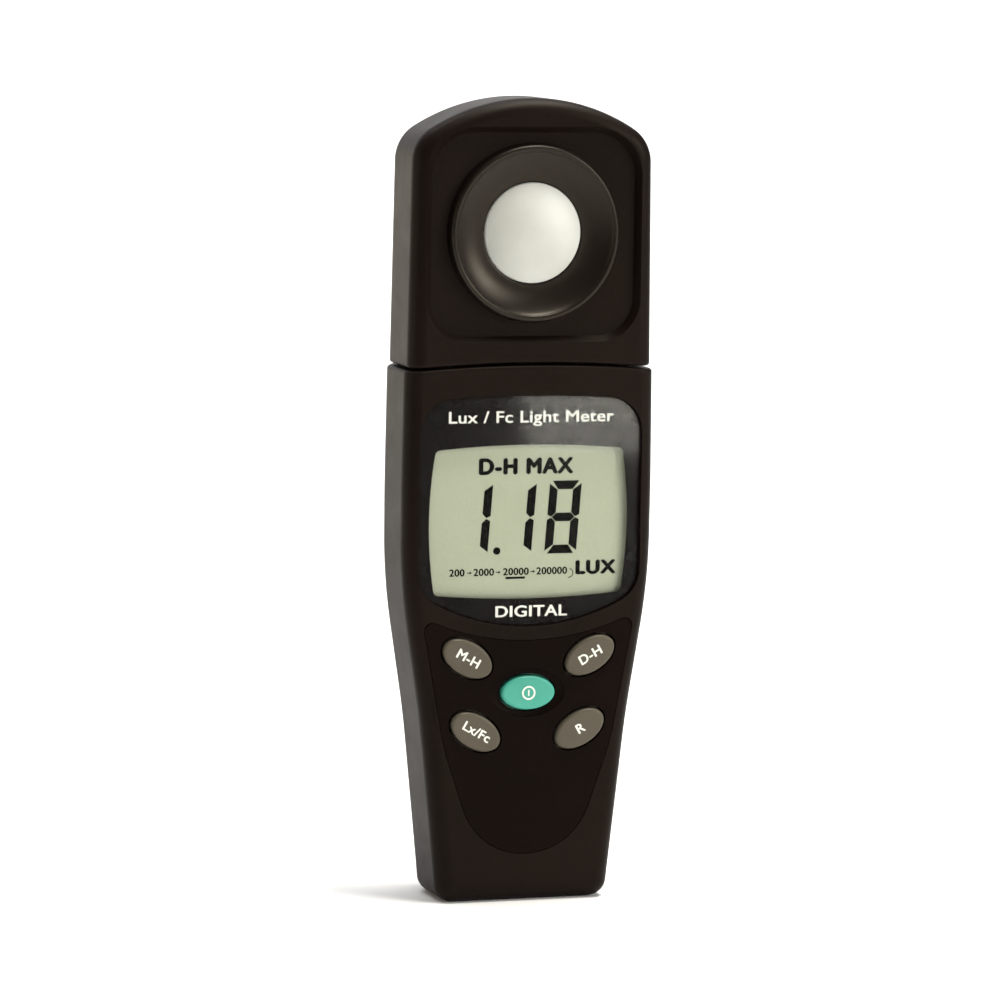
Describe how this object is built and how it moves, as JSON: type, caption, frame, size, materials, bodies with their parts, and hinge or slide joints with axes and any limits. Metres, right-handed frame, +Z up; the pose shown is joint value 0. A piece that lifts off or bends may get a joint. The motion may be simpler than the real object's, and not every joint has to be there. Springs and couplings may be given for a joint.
{
  "type": "handheld light meter",
  "caption": "Handheld light meter with a swivelling domed sensor head, reflective display, rubber keys and a rear battery door.",
  "frame": {"origin": "middle of the flat bottom end of the grip, on the swivel axis", "axes": "+Z up along the body to the sensor head; the display, keys and dome face -Y; +X to the right of the display"},
  "size_m": [0.065, 0.0303, 0.2],
  "materials": {
    "housing_black": "fine satin texture",
    "panel_black": "fine satin texture",
    "window_clear": "glossy clear acrylic",
    "mask_black": "printed black",
    "lcd_grey": "reflective display",
    "key_grey": "satin moulded",
    "key_green": "satin moulded",
    "diffuser_white": "translucent",
    "board_green": "solder mask",
    "chip_black": "moulded",
    "component_tan": "moulded",
    "pot_blue": "moulded",
    "white_nylon": "moulded",
    "zebra_rubber": "layered",
    "sheet_rubber": "silicone",
    "steel": "plated",
    "battery_jacket": "printed jacket",
    "snap_black": "vinyl",
    "wire_red": "insulation",
    "wire_black": "insulation",
    "cable_grey": "insulation",
    "foam": "foam",
    "filter_green": "coloured glass",
    "diode_grey": "packaged"
  },
  "bodies": {
    "grip": {"front_shell": "housing_black", "rear_shell": "housing_black", "key_fascia": "panel_black", "display_window": "window_clear", "window_mask": "mask_black", "lcd_panel": "lcd_grey", "lcd_frame": "white_nylon", "zebra_strips": "zebra_rubber", "main_board": "board_green", "measuring_chip": "chip_black", "board_components": "component_tan", "trim_pots": "pot_blue", "sensor_socket": "white_nylon", "keypad_sheet": "sheet_rubber", "snap_domes": "steel", "battery": "battery_jacket", "battery_snap": "snap_black", "battery_lead_red": "wire_red", "battery_lead_black": "wire_black", "battery_pad": "foam", "case_screws": "steel", "board_screws": "steel", "swivel_bush": "white_nylon", "friction_washer": "steel", "sensor_cable": "cable_grey"},
    "sensor_head": {"head_front_shell": "housing_black", "head_rear_shell": "housing_black", "head_screws": "steel", "sensor_bezel": "panel_black", "diffuser_dome": "diffuser_white", "sensor_holder": "chip_black", "colour_filter": "filter_green", "photodiode": "diode_grey", "sensor_board": "board_green", "sensor_screws": "steel", "sensor_plug": "white_nylon", "swivel_spigot": "white_nylon", "retaining_ring": "steel"},
    "battery_door": {"battery_door": "housing_black"},
    "power_key": {"power_key": "key_green"},
    "max_key": {"max_key": "key_grey"},
    "hold_key": {"hold_key": "key_grey"},
    "unit_key": {"unit_key": "key_grey"},
    "range_key": {"range_key": "key_grey"}
  },
  "joints": [
    {"name": "head_swivel", "type": "hinge", "parent": "grip", "child": "sensor_head", "pos_m": [0, 0, 0.1345], "axis": [0, 0, 1], "range_deg": [-90, 180]},
    {"name": "battery_door_hinge", "type": "hinge", "parent": "grip", "child": "battery_door", "pos_m": [0, 0.0134, 0.0094], "axis": [-1, 0, 0], "range_deg": [0, 80]},
    {"name": "power_key_press", "type": "slide", "parent": "grip", "child": "power_key", "axis": [0, 1, 0], "range_m": [0, 0.001], "stiffness_N_per_m": 600, "springref_m": -0.0005},
    {"name": "max_key_press", "type": "slide", "parent": "grip", "child": "max_key", "axis": [0, 1, 0], "range_m": [0, 0.001], "stiffness_N_per_m": 600, "springref_m": -0.0005},
    {"name": "hold_key_press", "type": "slide", "parent": "grip", "child": "hold_key", "axis": [0, 1, 0], "range_m": [0, 0.001], "stiffness_N_per_m": 600, "springref_m": -0.0005},
    {"name": "unit_key_press", "type": "slide", "parent": "grip", "child": "unit_key", "axis": [0, 1, 0], "range_m": [0, 0.001], "stiffness_N_per_m": 600, "springref_m": -0.0005},
    {"name": "range_key_press", "type": "slide", "parent": "grip", "child": "range_key", "axis": [0, 1, 0], "range_m": [0, 0.001], "stiffness_N_per_m": 600, "springref_m": -0.0005}
  ]
}
